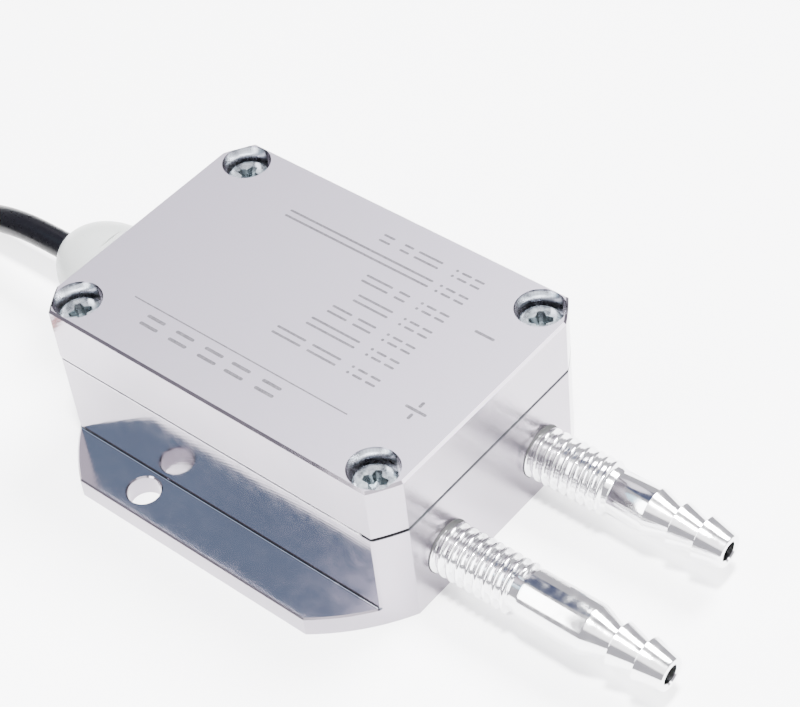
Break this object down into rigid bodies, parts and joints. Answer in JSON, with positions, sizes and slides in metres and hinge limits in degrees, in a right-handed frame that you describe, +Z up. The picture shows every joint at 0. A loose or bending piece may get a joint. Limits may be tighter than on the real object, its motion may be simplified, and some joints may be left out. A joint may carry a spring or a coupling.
{
  "type": "differential pressure transmitter",
  "caption": "Differential pressure transmitter in a milled aluminium housing, with high and low hose barbs on one end and a cable gland with a coiled lead on the other",
  "frame": {"origin": "centre of the housing's bottom face, on the surface that it is mounted on", "axes": "+X along the housing towards the hose barbs, +Y towards the low-pressure port's side, +Z up from the mounting face"},
  "size_m": [0.255, 0.1073, 0.0338],
  "materials": {
    "housing_aluminium": "milled and fine-blasted aluminium",
    "screw_steel": "zinc-plated steel",
    "fitting_metal": "bright nickel-plated brass, turned",
    "seal_rubber": "black seal rubber",
    "hose_rubber": "pale silicone hose",
    "sensor_plastic": "pale sensor housing",
    "board_green": "green circuit board",
    "spacer_brass": "turned brass",
    "terminal_green": "green terminal plastic",
    "trimmer_blue": "blue trimmer plastic",
    "chip_black": "black moulded package",
    "capacitor_can": "bright can",
    "gland_nylon": "milky white nylon",
    "lead_jacket": "glossy black cable jacket",
    "core_red": "red core insulation",
    "core_black": "black core insulation",
    "strand_copper": "tinned copper strands",
    "tie_nylon": "black nylon tie"
  },
  "bodies": {
    "root": {"base_housing": "housing_aluminium", "cover": "housing_aluminium", "cover_gasket": "seal_rubber", "cover_screws": "screw_steel", "high_port_fitting": "fitting_metal", "low_port_fitting": "fitting_metal", "high_port_hose": "hose_rubber", "low_port_hose": "hose_rubber", "pressure_sensor": "sensor_plastic", "circuit_board": "board_green", "board_spacers": "spacer_brass", "board_screws": "screw_steel", "terminal_block": "terminal_green", "terminal_screws": "screw_steel", "zero_trimmer": "trimmer_blue", "span_trimmer": "trimmer_blue", "trimmer_screws": "spacer_brass", "converter_chip": "chip_black", "filter_capacitor": "capacitor_can", "protection_diode": "chip_black", "gland_washer": "seal_rubber", "gland_body": "gland_nylon", "gland_seal": "seal_rubber", "gland_dome_nut": "gland_nylon", "lead_inner": "lead_jacket", "inner_core_red": "core_red", "inner_core_black": "core_black", "lead_coil": "lead_jacket", "coil_ties": "tie_nylon", "lead_run": "lead_jacket", "lead_end": "lead_jacket", "end_core_red": "core_red", "end_core_black": "core_black", "end_strands": "strand_copper"}
  },
  "joints": []
}
